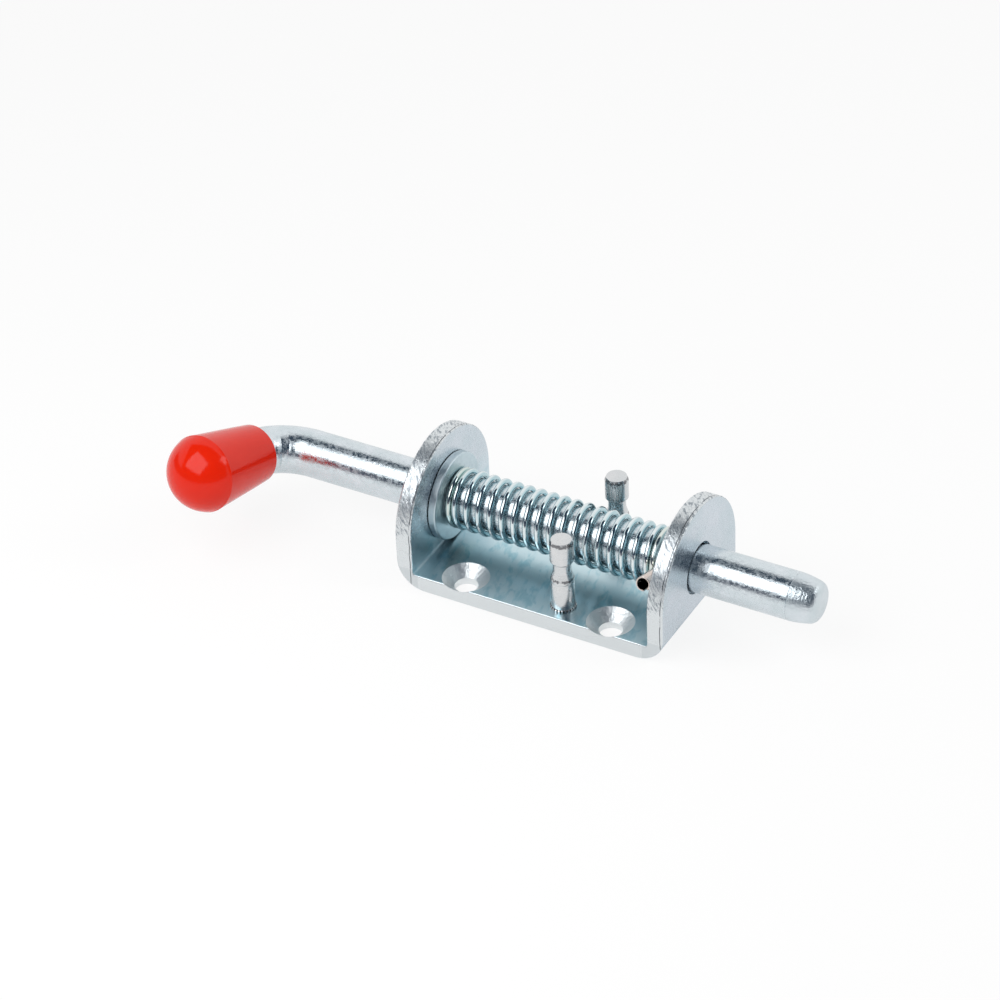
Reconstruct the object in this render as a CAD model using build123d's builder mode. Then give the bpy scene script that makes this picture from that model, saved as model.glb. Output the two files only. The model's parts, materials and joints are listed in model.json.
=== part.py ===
from build123d import *
from math import asin, cos, degrees, radians, sin, sqrt
import os

os.makedirs("parts", exist_ok=True)

# A spring bolt. A bent steel bar slides through the two upright ears of a folded plate bracket.
# A coil spring, held between a washer and a pin through the bar, throws the bar out to the right.
# The red cap on the bent end is the handle: it is drawn to the left, and the pin is then turned
# down behind one of the two studs, in whose waist it parks.
# Frame: +X runs along the bar to its free end, +Z is up, the origin is the centre of the
# bracket's underside. Lengths are in millimetres and angles in degrees.

# Bracket: one plate, folded up at both ends, each ear rounded to a half circle
bracket_length = 96.8
bracket_width = 52.5
plate_t = 5.8
ear_round_z = 18.0
bend_outer_r = 10.0
bend_inner_r = 0.8
plate_edge_r = 0.6
bore_play = 1.4
bore_edge_r = 0.5
screw_hole_d = 7.8
screw_head_d = 15.9
screw_head_angle = 100.0
screw_end_inset = 22.0
screw_edge_inset = 6.65

# Bar: its straight run, the turned taper at the free end and the bend of the handle
bar_d = 16.0
bar_axis_z = 21.1
bar_tip_x = 91.0
taper_length = 9.1
taper_end_d = 12.7
taper_bulge_r = 34.0
tip_edge_r = 2.9
handle_bend_x = -94.3
handle_bend_r = 15.5
handle_bend_angle = 83.0
handle_lift_angle = 16.0
grip_length = 33.0
grip_end_chamfer = 1.0

# Cap: a moulded cone with a domed end, pushed on the handle
cap_rim_d = 20.0
cap_d = 26.0
cap_dome_r = 13.2
cap_end_wall = 5.2
cap_rim_edge_r = 0.5
cap_bend_gap = 0.3
cap_bottom_gap = 0.2

# Roll pin: a rolled and slotted tube through the bar
pin_d = 5.0
pin_wall = 0.6
pin_slot_w = 1.0
pin_slot_angle = -60.0
pin_length = 32.1
pin_end_chamfer = 0.25
pin_ear_gap = 0.05

# Washer and spring
washer_d = 30.0
washer_bore_d = 17.0
washer_t = 2.8
washer_edge_r = 0.5
spring_wire_d = 2.0
spring_bar_gap = 0.2
spring_seat_gap = 0.02
spring_coil_gap = 0.05
spring_open_turns = 16.1
spring_closed_turns = 1.25
spring_start_angle = 5.0

# Studs: turned posts pressed into the base, one at each side of the bar
stud_x = 9.05
stud_edge_inset = 7.25
stud_d = 7.8
stud_height = 26.5
stud_top_chamfer = 0.6
stud_shank_d = 6.0
stud_shank_inset = 0.3
waist_d = 5.9
waist_flat = 3.2
waist_below_axis = 1.0
waist_shoulder = 0.9
waist_cone_length = 2.9
stud_line_depth = 0.15
stud_line_w = 0.4
stud_line_drop = 0.9
foot_d = 8.7
foot_height = 0.8
foot_teeth = 24
foot_tooth_depth = 0.4
foot_tooth_angle = 5.0

# Sizes that follow from those above
ear_inner_x = bracket_length / 2 - plate_t
ear_top_z = ear_round_z + bracket_width / 2
bore_d = bar_d + bore_play
pin_x = ear_inner_x - pin_ear_gap - pin_d / 2
screw_hole_x = bracket_length / 2 - screw_end_inset
screw_hole_y = bracket_width / 2 - screw_edge_inset
stud_y = bracket_width / 2 - stud_edge_inset
stud_places = [(stud_x, -stud_y), (stud_x, stud_y)]
bar_axis = Axis((0, 0, bar_axis_z), (1, 0, 0))

# The bar, its bend and the pin lie in one plane, which leans back from the bar's axis
lift = radians(handle_lift_angle)
bend_turn = radians(handle_bend_angle)
handle_plane = Plane(
    origin=(0, 0, bar_axis_z), x_dir=(1, 0, 0), z_dir=(0, -sin(lift), -cos(lift))
)
lift_dir = handle_plane.y_dir
grip_start_x = handle_bend_x - handle_bend_r * sin(bend_turn)
grip_start_y = handle_bend_r * (1 - cos(bend_turn))
grip_start = handle_plane.from_local_coords((grip_start_x, grip_start_y, 0))
grip_dir = lift_dir * sin(bend_turn) - handle_plane.x_dir * cos(bend_turn)
grip_axis = Axis(grip_start, grip_dir)
grip_plane = Plane(
    origin=grip_start, x_dir=grip_dir.cross(handle_plane.z_dir), z_dir=handle_plane.z_dir
)
pin_plane = Plane(origin=(pin_x, 0, bar_axis_z), x_dir=(1, 0, 0), z_dir=lift_dir)
bar_section = Plane(origin=(0, 0, bar_axis_z), x_dir=(1, 0, 0), z_dir=(0, -1, 0))


def along_outline(edge):
    """Says whether an edge runs along the plate's outline, at its sides or round its ears."""
    middle = edge @ 0.5
    at_side = abs(abs(middle.Y) - bracket_width / 2) < 0.01
    ear_radius = sqrt(middle.Y**2 + (middle.Z - ear_round_z) ** 2)
    round_ear = middle.Z > ear_round_z and abs(ear_radius - bracket_width / 2) < 0.01
    goes_through_plate = abs((edge % 0.5).X) > 0.99 and middle.Z > bend_outer_r
    return (at_side or round_ear) and not goes_through_plate


with BuildPart() as bracket:
    # The folded strip, seen from the front
    with BuildSketch(Plane.XZ) as fold:
        Rectangle(bracket_length, ear_top_z, align=(Align.CENTER, Align.MIN))
        fillet(fold.vertices().group_by(Axis.Y)[0], bend_outer_r)
        with BuildSketch(Plane.XY.offset(0), mode=Mode.SUBTRACT) as hollow:
            with Locations((0, plate_t)):
                Rectangle(2 * ear_inner_x, ear_top_z, align=(Align.CENTER, Align.MIN))
            fillet(hollow.vertices().group_by(Axis.Y)[0], bend_inner_r)
    extrude(amount=bracket_width / 2, both=True)
    # Both ears are rounded at the top
    with BuildSketch(Plane.YZ) as ear:
        Rectangle(bracket_width, ear_round_z, align=(Align.CENTER, Align.MIN))
        with Locations((0, ear_round_z)):
            Circle(bracket_width / 2)
    extrude(amount=bracket_length / 2, both=True, mode=Mode.INTERSECT)
    fillet(bracket.edges().filter_by(along_outline), plate_edge_r)
    # The bar's bores, with their edges broken
    with Locations(Plane(origin=(bracket_length / 2, 0, bar_axis_z), z_dir=(1, 0, 0))):
        Hole(bore_d / 2, depth=bracket_length)
    bore_edges = bracket.edges().filter_by(GeomType.CIRCLE)
    fillet(bore_edges.filter_by(lambda e: abs(e.radius - bore_d / 2) < 0.01), bore_edge_r)
    # Four countersunk screw holes, which just break out of the long edges, and the stud holes
    with Locations(Plane.XY.offset(plate_t)):
        with GridLocations(2 * screw_hole_x, 2 * screw_hole_y, 2, 2):
            CounterSinkHole(
                screw_hole_d / 2,
                screw_head_d / 2,
                depth=plate_t,
                counter_sink_angle=screw_head_angle,
            )
        with Locations(*stud_places):
            Hole(stud_shank_d / 2, depth=plate_t)
bracket.part.label = "bracket"
export_step(bracket.part, "parts/bracket.step")


def write_stud(place_y, name):
    """Turns one stud at its place in the base, with its waist level with the bar's axis."""
    axis = Axis((stud_x, place_y, 0), (0, 0, 1))
    radius = stud_d / 2
    top_z = plate_t + stud_height
    waist_low = bar_axis_z - waist_below_axis
    waist_high = waist_low + waist_flat
    line_z = waist_low - waist_cone_length - stud_line_drop
    with BuildPart() as stud:
        with BuildSketch(Plane(origin=(stud_x, place_y, 0), x_dir=(1, 0, 0), z_dir=(0, -1, 0))):
            with BuildLine():
                Polyline(
                    (0, stud_shank_inset),
                    (stud_shank_d / 2, stud_shank_inset),
                    (stud_shank_d / 2, plate_t),
                    (foot_d / 2, plate_t),
                    (foot_d / 2, plate_t + foot_height),
                    (radius, plate_t + foot_height),
                    (radius, line_z - stud_line_w / 2),
                    (radius - stud_line_depth, line_z),
                    (radius, line_z + stud_line_w / 2),
                    (radius, waist_low - waist_cone_length),
                    (waist_d / 2, waist_low),
                    (waist_d / 2, waist_high),
                    (radius, waist_high + waist_shoulder),
                    (radius, top_z - stud_top_chamfer),
                    (radius - stud_top_chamfer, top_z),
                    (0, top_z),
                    (0, stud_shank_inset),
                )
            make_face()
        revolve(axis=axis)
        # The knurl that grips the plate shows as a ring of small teeth round the foot
        with BuildSketch(Plane.XY.offset(plate_t)):
            with Locations((stud_x, place_y)):
                with PolarLocations(foot_d / 2, foot_teeth):
                    gap_half = foot_d / 2 * sin(radians(foot_tooth_angle))
                    Polygon(
                        (0, -gap_half), (0, gap_half), (-foot_tooth_depth, 0), align=None
                    )
        extrude(amount=foot_height, mode=Mode.SUBTRACT)
    stud.part.label = name
    export_step(stud.part, f"parts/{name}.step")


write_stud(-stud_y, "front_stud")
write_stud(stud_y, "rear_stud")

with BuildPart() as bolt_rod:
    # The straight run with its turned taper, which bulges a little
    with BuildSketch(bar_section) as turned:
        with BuildLine():
            Polyline(
                (bar_tip_x, taper_end_d / 2),
                (bar_tip_x, 0),
                (handle_bend_x, 0),
                (handle_bend_x, bar_d / 2),
                (bar_tip_x - taper_length, bar_d / 2),
            )
            RadiusArc(
                (bar_tip_x - taper_length, bar_d / 2), (bar_tip_x, taper_end_d / 2), taper_bulge_r
            )
        make_face()
        tip_corners = turned.vertices().group_by(Axis.X)[-1]
        fillet(tip_corners.sort_by(Axis.Y)[-1], tip_edge_r)
    revolve(axis=bar_axis)
    # The bend and the straight grip beyond it
    with BuildLine(handle_plane) as bent:
        CenterArc(
            (handle_bend_x, handle_bend_r), handle_bend_r, -90, -handle_bend_angle
        )
        Line(
            (grip_start_x, grip_start_y),
            (
                grip_start_x - grip_length * cos(bend_turn),
                grip_start_y + grip_length * sin(bend_turn),
            ),
        )
    with BuildSketch(Plane(origin=(handle_bend_x, 0, bar_axis_z), z_dir=(-1, 0, 0))):
        Circle(bar_d / 2)
    sweep(path=bent.wire())
    grip_end = bolt_rod.faces().filter_by(GeomType.PLANE).sort_by(Axis.X)[0]
    chamfer(grip_end.edges(), grip_end_chamfer)
    # The cross hole for the pin
    with BuildSketch(pin_plane):
        Circle(pin_d / 2)
    extrude(amount=bar_d, both=True, mode=Mode.SUBTRACT)
bolt_rod.part.label = "bolt_rod"
export_step(bolt_rod.part, "parts/bolt_rod.step")

with BuildPart() as roll_pin:
    # One end is flush with the bar's far side, the other stands out as the catch
    with BuildSketch(pin_plane.offset(-bar_d / 2)):
        Circle(pin_d / 2)
        Circle(pin_d / 2 - pin_wall, mode=Mode.SUBTRACT)
        with PolarLocations(pin_d / 2, 1, start_angle=pin_slot_angle):
            Rectangle(4 * pin_wall, pin_slot_w, mode=Mode.SUBTRACT)
    extrude(amount=pin_length)
    rims = roll_pin.edges().filter_by(GeomType.CIRCLE)
    chamfer(rims.filter_by(lambda e: abs(e.radius - pin_d / 2) < 0.01), pin_end_chamfer)
roll_pin.part.label = "roll_pin"
export_step(roll_pin.part, "parts/roll_pin.step")

with BuildPart() as washer:
    # It lies against the left ear's inner face
    with BuildSketch(Plane(origin=(-ear_inner_x, 0, bar_axis_z), z_dir=(1, 0, 0))):
        Circle(washer_d / 2)
        Circle(washer_bore_d / 2, mode=Mode.SUBTRACT)
    extrude(amount=washer_t)
    rims = washer.edges().filter_by(GeomType.CIRCLE)
    fillet(rims.filter_by(lambda e: abs(e.radius - washer_d / 2) < 0.01), washer_edge_r)
washer.part.label = "washer"
export_step(washer.part, "parts/washer.step")

# The spring fills the room between the washer and the pin: a few touching turns at each end,
# and between them open turns, whose pitch follows from that room
spring_start_x = -ear_inner_x + washer_t + spring_seat_gap + spring_wire_d / 2
spring_end_x = pin_x - pin_d / 2 - spring_seat_gap - spring_wire_d / 2
spring_mean_r = bar_d / 2 + spring_bar_gap + spring_wire_d / 2
closed_pitch = spring_wire_d + spring_coil_gap
closed_run = spring_closed_turns * closed_pitch
open_pitch = (spring_end_x - spring_start_x - 2 * closed_run) / spring_open_turns
coil_runs = [
    (closed_pitch, spring_closed_turns),
    (open_pitch, spring_open_turns),
    (closed_pitch, spring_closed_turns),
]

with BuildPart() as coil:
    # The wire is wound round the Z axis first
    with BuildLine() as winding:
        turned_so_far = 0.0
        height_so_far = 0.0
        for pitch, turns in coil_runs:
            run = Helix(
                pitch, pitch * turns, spring_mean_r, (0, 0, height_so_far), mode=Mode.PRIVATE
            )
            add(run.rotate(Axis.Z, 360 * turned_so_far))
            turned_so_far += turns
            height_so_far += pitch * turns
    with BuildSketch(Plane(origin=winding.wire() @ 0, z_dir=winding.wire() % 0)):
        Circle(spring_wire_d / 2)
    sweep(path=winding.wire(), is_frenet=True)

start_turn = radians(spring_start_angle)
with BuildPart() as spring:
    with Locations(
        Plane(
            origin=(spring_start_x, 0, bar_axis_z),
            x_dir=(0, cos(start_turn), sin(start_turn)),
            z_dir=(1, 0, 0),
        )
    ):
        add(coil.part)
spring.part.label = "spring"
export_step(spring.part, "parts/spring.step")

# The cap's outline is drawn beside the grip's axis: across is the radius, up is along the grip
cap_rim_at = cap_bend_gap
cap_bottom_at = grip_length + cap_bottom_gap
cap_top_at = cap_bottom_at + cap_end_wall
cap_dome_centre = cap_top_at - cap_dome_r
cap_joint_at = cap_dome_centre + sqrt(cap_dome_r**2 - (cap_d / 2) ** 2)
dome_start = degrees(asin((cap_joint_at - cap_dome_centre) / cap_dome_r))

with BuildPart() as handle_cap:
    with BuildSketch(grip_plane) as wall:
        with BuildLine():
            Polyline(
                (0, cap_top_at),
                (0, cap_bottom_at),
                (bar_d / 2, cap_bottom_at),
                (bar_d / 2, cap_rim_at),
                (cap_rim_d / 2, cap_rim_at),
                (cap_d / 2, cap_joint_at),
            )
            CenterArc((0, cap_dome_centre), cap_dome_r, dome_start, 90 - dome_start)
        make_face()
        rim_corners = wall.vertices().group_by(Axis.Y)[0]
        fillet(rim_corners.sort_by(Axis.X)[-1], cap_rim_edge_r)
    revolve(axis=grip_axis)
handle_cap.part.label = "handle_cap"
export_step(handle_cap.part, "parts/handle_cap.step")
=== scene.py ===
import json
import logging
import math
from collections.abc import Callable, Iterator, Sequence
from contextlib import contextmanager
from dataclasses import dataclass
from enum import Enum

import bmesh
import bpy
from mathutils import Matrix, Vector


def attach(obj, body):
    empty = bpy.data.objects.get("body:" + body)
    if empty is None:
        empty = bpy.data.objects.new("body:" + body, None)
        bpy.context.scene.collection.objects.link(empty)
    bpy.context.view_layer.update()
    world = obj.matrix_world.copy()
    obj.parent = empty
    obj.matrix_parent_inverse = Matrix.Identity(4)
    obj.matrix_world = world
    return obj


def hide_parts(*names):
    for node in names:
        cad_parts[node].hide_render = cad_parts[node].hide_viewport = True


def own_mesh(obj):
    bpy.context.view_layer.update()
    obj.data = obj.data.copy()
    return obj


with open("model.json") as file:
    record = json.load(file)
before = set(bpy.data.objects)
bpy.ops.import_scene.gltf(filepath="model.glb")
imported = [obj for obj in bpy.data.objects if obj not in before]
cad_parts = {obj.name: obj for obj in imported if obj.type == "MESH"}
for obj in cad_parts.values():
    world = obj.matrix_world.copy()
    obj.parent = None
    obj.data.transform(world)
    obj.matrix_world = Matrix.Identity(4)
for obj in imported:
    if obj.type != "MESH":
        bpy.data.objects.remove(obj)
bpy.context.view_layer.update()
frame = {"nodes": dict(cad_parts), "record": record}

MM = 0.001
BRACKET, STACK, BOLT = "bracket", "spring_stack", "bolt"
RIGHT, UP = Vector((1.0, 0.0, 0.0)), Vector((0.0, 0.0, 1.0))
# Points closer than WELD become one, points within NEAR or RING_NEAR of a plane count as in it,
# and edges sharper than CRISP_DEG stay crisp.
WHITE = "#FFFFFF"
WELD = 0.001 * MM
NEAR = 0.01 * MM
RING_NEAR = 0.1 * MM
CRISP_DEG = 30.0
log = logging.getLogger("spring_bolt")

# The bar's axis runs along X at the height of the turning joint, and the handle and the pin
# share one plane through it, which leans forward from the horizontal.
TURN_JOINT, SLIDE_JOINT = frame["record"]["behaviour"]["joints"]
AXIS_Z = TURN_JOINT["pos_m"][2]
BAR_RADIUS = 8.0 * MM
LIFT = math.radians(16.0)
LIFT_DIR = Vector((0.0, -math.cos(LIFT), math.sin(LIFT)))
PLANE_NORMAL = Vector((0.0, -math.sin(LIFT), -math.cos(LIFT)))

Piece = bpy.types.Object
Socket = bpy.types.NodeSocket
Pair = tuple[float, float]
Outline = list[Pair]


def linear(code: str) -> tuple[float, float, float, float]:
    """Turns an sRGB hex colour into linear light.

    Args:
        code: The colour as "#RRGGBB".

    Returns:
        Red, green, blue and an alpha of 1.
    """
    shares = [int(code[i : i + 2], 16) / 255 for i in (1, 3, 5)]
    red, green, blue = (s / 12.92 if s <= 0.04045 else ((s + 0.055) / 1.055) ** 2.4 for s in shares)
    return red, green, blue, 1.0


def choose(piece: Piece | None = None) -> None:
    """Deselects everything and then makes one piece the selected and active one.

    Args:
        piece: The piece, or None to leave nothing selected.
    """
    bpy.ops.object.select_all(action="DESELECT")
    if piece is not None:
        piece.select_set(True)
        bpy.context.view_layer.objects.active = piece


@contextmanager
def editing(piece: Piece) -> Iterator[None]:
    """Opens one piece, and nothing else, in edit mode.

    Args:
        piece: The mesh object to shape.

    Yields:
        Nothing: operators inside the block act on the piece's selected parts.
    """
    choose(piece)
    bpy.ops.object.mode_set(mode="EDIT")
    try:
        yield
    finally:
        bpy.ops.object.mode_set(mode="OBJECT")


def pick(piece: Piece, wanted: Callable[[Vector], bool]) -> None:
    """Selects the vertices of the piece in edit mode that lie where they are wanted.

    Args:
        piece: The mesh object in edit mode.
        wanted: Says of a vertex's place whether it is selected.
    """
    bpy.ops.mesh.select_mode(type="VERT")
    bpy.ops.mesh.select_all(action="DESELECT")
    shape = bmesh.from_edit_mesh(piece.data)
    for v in shape.verts:
        if wanted(v.co):
            v.select = True
    shape.select_flush(True)
    bmesh.update_edit_mesh(piece.data)


def extrude_ring(shift: Vector, scale: float, centre: Vector) -> None:
    """Extrudes the selected ring along shift and then scales it about its new centre.

    Args:
        shift: The way that the ring moves.
        scale: New radius over old radius.
        centre: The ring's centre before the move.
    """
    bpy.ops.mesh.extrude_region_move(TRANSFORM_OT_translate={"value": tuple(shift)})
    if abs(scale - 1.0) > 1e-9:
        bpy.ops.transform.resize(value=(scale,) * 3, center_override=tuple(centre + shift))


def place(piece: Piece, origin: Vector, along: Vector, across: Vector) -> None:
    """Turns a piece made round the Z axis to its place and leaves its object at the origin.

    Args:
        piece: The mesh object.
        origin: Where its origin goes.
        along: Where its Z axis goes.
        across: Where its X axis goes.
    """
    turn = Matrix((across, along.cross(across), along)).transposed().to_4x4()
    piece.matrix_world = Matrix.Translation(origin) @ turn
    choose(piece)
    bpy.ops.object.transform_apply(location=True, rotation=True, scale=True)


def apply_modifiers(piece: Piece) -> None:
    """Applies all modifiers of a piece, in order."""
    choose(piece)
    for modifier in list(piece.modifiers):
        bpy.ops.object.modifier_apply(modifier=modifier.name)


def finish_surface(piece: Piece, crease_deg: float = CRISP_DEG) -> None:
    """Closes a piece, turns its faces outwards and shades it smooth up to an angle.

    Args:
        piece: The mesh object.
        crease_deg: Edges sharper than this stay crisp.
    """
    with editing(piece):
        bpy.ops.mesh.select_all(action="SELECT")
        bpy.ops.mesh.remove_doubles(threshold=WELD)
        bpy.ops.mesh.select_all(action="DESELECT")
        bpy.ops.mesh.select_non_manifold(
            extend=False, use_multi_face=False, use_non_contiguous=False
        )
        bpy.ops.mesh.fill_holes(sides=0)
        bpy.ops.mesh.select_all(action="SELECT")
        bpy.ops.mesh.normals_make_consistent(inside=False)
    bpy.ops.object.shade_smooth_by_angle(angle=math.radians(crease_deg))


def arc_points(centre: Pair, radius: float, start_deg: float, end_deg: float, steps: int) -> Outline:
    """Gives the points of an arc in an outline.

    Args:
        centre: The arc's centre, as radius and height.
        radius: The arc's radius.
        start_deg: Where it starts, from the outward direction.
        end_deg: Where it ends.
        steps: How many steps it takes.

    Returns:
        The points after the first, in order.
    """
    points = []
    for step in range(1, steps + 1):
        angle = math.radians(start_deg + (end_deg - start_deg) * step / steps)
        points.append((centre[0] + radius * math.cos(angle), centre[1] + radius * math.sin(angle)))
    return points


@dataclass(frozen=True)
class Lathe:
    """Turns a piece round the Z axis, as on a lathe, by extruding and scaling one ring.

    Attributes:
        segments: How many faces go round the piece.
    """

    segments: int = 96

    def turn(self, name: str, outline: Sequence[Pair]) -> Piece:
        """Turns the piece.

        Args:
            name: The piece's name.
            outline: Radius and height of each ring, in order. A radius of nothing closes the end.

        Returns:
            The mesh object, still open at the ends that the outline leaves open.
        """
        choose()
        radius, height = outline[0]
        bpy.ops.mesh.primitive_circle_add(vertices=self.segments, radius=radius)
        piece = bpy.context.active_object
        piece.name = piece.data.name = name
        with editing(piece):
            bpy.ops.mesh.select_all(action="SELECT")
            bpy.ops.transform.translate(value=(0.0, 0.0, height))
            for next_radius, next_height in outline[1:]:
                closes = next_radius < 1e-6
                scale = 1.0 if closes else next_radius / radius
                extrude_ring(UP * (next_height - height), scale, UP * height)
                if closes:
                    bpy.ops.mesh.merge(type="CENTER")
                radius, height = next_radius, next_height
        return piece


class NodeSheet:
    """The node tree of a material or a world, which is emptied and then filled.

    A Mix node has sockets of the same name. Its plain values go into 2 and 3, and its colours
    into 6 and 7 and come out at 2.

    Attributes:
        owner: The material or world.
    """

    def __init__(self, owner: bpy.types.Material | bpy.types.World) -> None:
        """Empties the owner's node tree.

        Args:
            owner: The material or world.
        """
        owner.use_nodes = True
        owner.node_tree.nodes.clear()
        self.owner = owner

    def add(
        self,
        kind: str,
        *values: object,
        named: dict | None = None,
        out: int | str = 0,
        **settings: object,
    ) -> Socket | None:
        """Adds one node with its settings and links.

        Args:
            kind: Blender's name of the node type, without the ShaderNode that it starts with.
            *values: What its sockets get, in order: a value, or a node's output to link.
            named: The same for sockets by name or number.
            out: The name or number of the output to hand back.
            **settings: The node's own properties.

        Returns:
            That output, or None where the node has none.
        """
        tree = self.owner.node_tree
        made = tree.nodes.new(f"ShaderNode{kind}")
        for key, value in settings.items():
            setattr(made, key, value)
        for key, value in [*enumerate(values), *(named or {}).items()]:
            if isinstance(value, Socket):
                tree.links.new(value, made.inputs[key])
            elif value is not None:
                made.inputs[key].default_value = value
        return made.outputs[out] if made.outputs else None

    def seen_directly(self) -> Socket:
        """Finds the rays that see the background: the camera's, reflected and refracted ones.

        Returns:
            An output that is 1 for those rays.
        """
        rays = self.add("LightPath").node.outputs
        direct = self.add("Math", rays["Is Camera Ray"], rays["Is Glossy Ray"], operation="MAXIMUM")
        return self.add("Math", direct, rays["Is Transmission Ray"], operation="MAXIMUM")


class Surface(NodeSheet):
    """A material whose look is laid out in millimetres, one mark over another.

    Attributes:
        place: The surface point in millimetres, from Object coordinates.
        x, y, z: Its coordinates.
        colour: The colour so far, as a value or an output.
        roughness: The roughness so far.
        normal: The normal so far, or None for the shape's own.
    """

    def __init__(self, name: str, colour: str, roughness: float) -> None:
        """Starts a material of one colour and roughness.

        Args:
            name: The material's name.
            colour: Its sRGB hex colour.
            roughness: Its roughness.
        """
        super().__init__(bpy.data.materials.new(name))
        metres = self.add("TexCoord", out="Object")
        self.place = self.add("VectorMath", metres, (1 / MM,) * 3, operation="MULTIPLY")
        self.x, self.y, self.z = self.add("SeparateXYZ", self.place).node.outputs
        self.colour, self.roughness, self.normal = linear(colour), roughness, None

    def away(self, value: Socket, middle: Socket | float) -> Socket:
        """Gives how far a value lies from a middle, on either side."""
        off = self.add("Math", value, middle, operation="SUBTRACT")
        return self.add("Math", off, operation="ABSOLUTE")

    def overlap(self, share: Socket, *others: Socket | float) -> Socket:
        """Finds where several marks meet.

        Args:
            share: The first mark's share at a point, from 0 to 1.
            *others: The other marks' shares.

        Returns:
            The product of the shares.
        """
        for other in others:
            share = self.add("Math", share, other, operation="MULTIPLY")
        return share

    def lay(
        self,
        share: Socket | float,
        colour: Socket | str | None = None,
        roughness: Socket | float | None = None,
        relief: Socket | None = None,
        depth_mm: float = 0.0,
    ) -> None:
        """Lays a mark over what is there.

        Args:
            share: How strong the mark is at a point, from 0 to 1.
            colour: Its colour.
            roughness: Its roughness.
            relief: The height of its relief, from 0 to 1.
            depth_mm: How high 1 is.
        """
        if colour is not None:
            over = linear(colour) if isinstance(colour, str) else colour
            layers = {"Factor": share, 6: self.colour, 7: over}
            self.colour = self.add("Mix", named=layers, out=2, data_type="RGBA")
        if roughness is not None:
            self.roughness = self.add("Mix", named={"Factor": share, 2: self.roughness, 3: roughness})
        if relief is not None:
            raised = {"Height": self.overlap(relief, share), "Distance": depth_mm * MM}
            self.normal = self.add("Bump", named={**raised, "Strength": 1.0, "Normal": self.normal})

    def material(self, uniform: dict[str, float]) -> bpy.types.Material:
        """Joins the look to its shader.

        Args:
            uniform: The shader's values that are the same all over.

        Returns:
            The material.
        """
        look = {"Base Color": self.colour, "Roughness": self.roughness, "Normal": self.normal}
        self.add("OutputMaterial", self.add("BsdfPrincipled", named={**look, **uniform}))
        return self.owner


class Order(Enum):
    """What is done first when a pattern is laid out: it is scaled or it is turned."""

    SCALED = "POINT"
    TURNED = "TEXTURE"


@dataclass(frozen=True)
class Pattern:
    """A random pattern on a surface, such as clouds, pits or streaks.

    Attributes:
        size_mm: The size of its marks.
        detail: How many finer layers it has.
        rough: How strong each finer layer is.
        warp: How far it is distorted.
        scale: How much it shrinks along each axis where it is scaled first, or else grows.
        turn: How far it is turned about Z, in radians.
        order: What is done first.
    """

    size_mm: float
    detail: float = 2.0
    rough: float = 0.5
    warp: float = 0.0
    scale: tuple[float, float, float] = (1.0, 1.0, 1.0)
    turn: float = 0.0
    order: Order = Order.SCALED

    def draw(self, coat: Surface, where: Socket | None = None) -> Socket:
        """Draws the pattern.

        Args:
            coat: The surface that gets it.
            where: The place that it is laid out on, if not the surface point itself.

        Returns:
            Its strength at a point, from 0 to 1.
        """
        start = coat.place if where is None else where
        layout = {"Vector": start, "Rotation": (0.0, 0.0, self.turn), "Scale": self.scale}
        laid = coat.add("Mapping", named=layout, vector_type=self.order.value)
        marks = {"Vector": laid, "Scale": 1 / self.size_mm, "Distortion": self.warp}
        finer = {"Detail": self.detail, "Roughness": self.rough}
        return coat.add("TexNoise", named={**marks, **finer})


class Grain(Enum):
    """Which way the fine marks of a finish run: how much they shrink along each axis."""

    EVEN = (1.0, 1.0, 1.0)
    ALONG_X = (0.65, 1.0, 1.0)
    ROUND_Z = (0.25, 0.25, 3.0)


@dataclass(frozen=True)
class ZincPlated:
    """Steel with bright zinc plating and a clear blue passivation.

    To the eye it is a pale blue-grey metal whose reflections are broken up by the plating's
    fine pits and by duller patches, sharp on drawn wire and soft on rolled plate.

    Attributes:
        name: The material's name.
        light: The plating's usual colour.
        cloud: The bluer colour of its clouds.
        gloss: The roughness of the bright plating and of its duller patches.
        cloud_mm: The clouds' size.
        cloud_band: How strong the pattern is where a cloud starts and where it is full.
        patch_mm: The duller patches' size.
        patch_band: The same for a patch.
        pit_mm: The pits' size, drawn coarser than real so that they show.
        pit_depth_mm: The pits' depth.
        grain: The way that its marks run.
    """

    name: str
    light: str
    cloud: str
    gloss: Pair
    cloud_mm: float = 7.0
    cloud_band: Pair = (0.35, 0.7)
    patch_mm: float = 1.1
    patch_band: Pair = (0.44, 0.62)
    pit_mm: float = 0.75
    pit_depth_mm: float = 0.03
    grain: Grain = Grain.EVEN

    def material(self) -> bpy.types.Material:
        """Builds the plating with its clouds, patches and pits, and the marks of its piece.

        Returns:
            The material.
        """
        coat = Surface(self.name, self.light, self.gloss[0])
        clouds = Pattern(self.cloud_mm, 4.0, 0.6).draw(coat)
        patches = Pattern(self.patch_mm, 3.0, 0.65, scale=self.grain.value).draw(coat)
        pits = Pattern(self.pit_mm, 2.0, 0.6, scale=self.grain.value).draw(coat)
        coat.lay(coat.add("MapRange", clouds, *self.cloud_band), self.cloud)
        coat.lay(coat.add("MapRange", patches, *self.patch_band), roughness=self.gloss[1])
        coat.lay(1.0, relief=pits, depth_mm=self.pit_depth_mm)
        self.marks(coat)
        return coat.material({"Metallic": 1.0})

    def marks(self, coat: Surface) -> None:
        """Lays the marks of the piece over the plating, which here has none."""


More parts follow.
